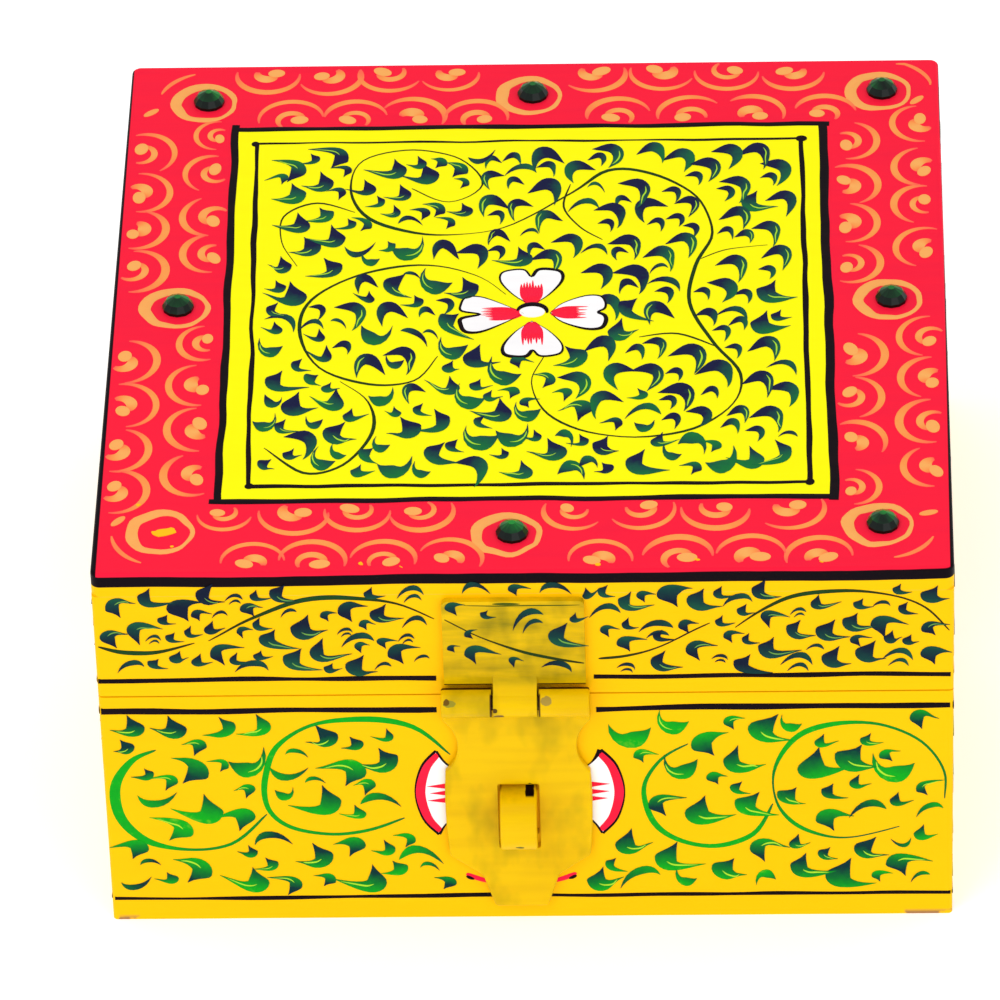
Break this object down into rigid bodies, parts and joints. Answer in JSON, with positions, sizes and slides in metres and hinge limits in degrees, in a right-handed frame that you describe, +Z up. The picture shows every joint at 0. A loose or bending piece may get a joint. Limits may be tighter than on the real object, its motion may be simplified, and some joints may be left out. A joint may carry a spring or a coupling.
{
  "type": "jack in the box",
  "caption": "Square painted wooden jack in the box: hinged lid set with green stones, front hasp over a staple, and a capped doll on a coil spring in a pleated cloth sleeve.",
  "frame": {"origin": "centre of the box's bottom face", "axes": "+Z up, +X to the right when facing the hasp, -Y towards the hasp"},
  "size_m": [0.15, 0.1644, 0.0821],
  "materials": {
    "painted_wood": "semi-gloss hand-painted enamel over wood",
    "bare_wood": "sanded, unpainted",
    "painted_metal": "brushed-on enamel, chipped at the knuckles",
    "steel": "plain, slightly dull",
    "brass": "lightly tarnished",
    "spring_steel": "drawn wire, bright",
    "green_glass": "faceted, glossy",
    "sleeve_cloth": "plain woven cotton",
    "tape": "woven tape",
    "collar_cloth": "gathered cotton with a green edge",
    "face_paint": "painted turned wood, satin",
    "cap_felt": "wool felt",
    "brim_felt": "rolled wool felt",
    "bead_paint": "gloss-painted bead"
  },
  "bodies": {
    "box": {"base_front_wall": "painted_wood", "base_back_wall": "painted_wood", "base_left_wall": "painted_wood", "base_right_wall": "painted_wood", "base_bottom_board": "bare_wood", "base_corner_nails": "steel", "base_bottom_nails": "steel", "hasp_staple": "painted_metal", "rear_hinge_base_leaves": "brass", "rear_hinge_pins": "steel", "rear_hinge_base_nails": "brass", "spring_block": "bare_wood", "spring_block_screws": "steel", "jack_spring": "spring_steel", "jack_sleeve": "sleeve_cloth", "sleeve_lower_band": "tape"},
    "lid": {"lid_front_rim": "painted_wood", "lid_back_rim": "painted_wood", "lid_left_rim": "painted_wood", "lid_right_rim": "painted_wood", "lid_top_board": "painted_wood", "lid_corner_nails": "steel", "lid_board_nails": "steel", "green_stones": "green_glass", "hasp_lid_leaf": "painted_metal", "hasp_leaf_pins": "steel", "hasp_hinge_pin": "painted_metal", "rear_hinge_lid_leaves": "brass", "rear_hinge_lid_nails": "brass"},
    "hasp": {"hasp_flap": "painted_metal"},
    "jack": {"jack_plate": "bare_wood", "jack_neck_dowel": "bare_wood", "jack_collar": "collar_cloth", "jack_head": "face_paint", "jack_cap": "cap_felt", "jack_cap_brim": "brim_felt", "jack_cap_bead": "bead_paint", "jack_nose": "bead_paint", "sleeve_upper_band": "tape"}
  },
  "joints": [
    {"name": "lid_hinge", "type": "hinge", "parent": "box", "child": "lid", "pos_m": [0, 0.07745, 0.052], "axis": [-1, 0, 0], "range_deg": [0, 115]},
    {"name": "hasp_hinge", "type": "hinge", "parent": "lid", "child": "hasp", "pos_m": [-0.0017, -0.07775, 0.0522], "axis": [-1, 0, 0], "range_deg": [0, 180]},
    {"name": "jack_rise", "type": "slide", "parent": "box", "child": "jack", "axis": [0, 0, 1], "range_m": [0, 0.1205], "deforming": ["jack_spring", "jack_sleeve"]}
  ],
  "couplings": [
    {"joint": "jack_rise", "follows": "lid_hinge", "m_per_rad": 0.06}
  ]
}
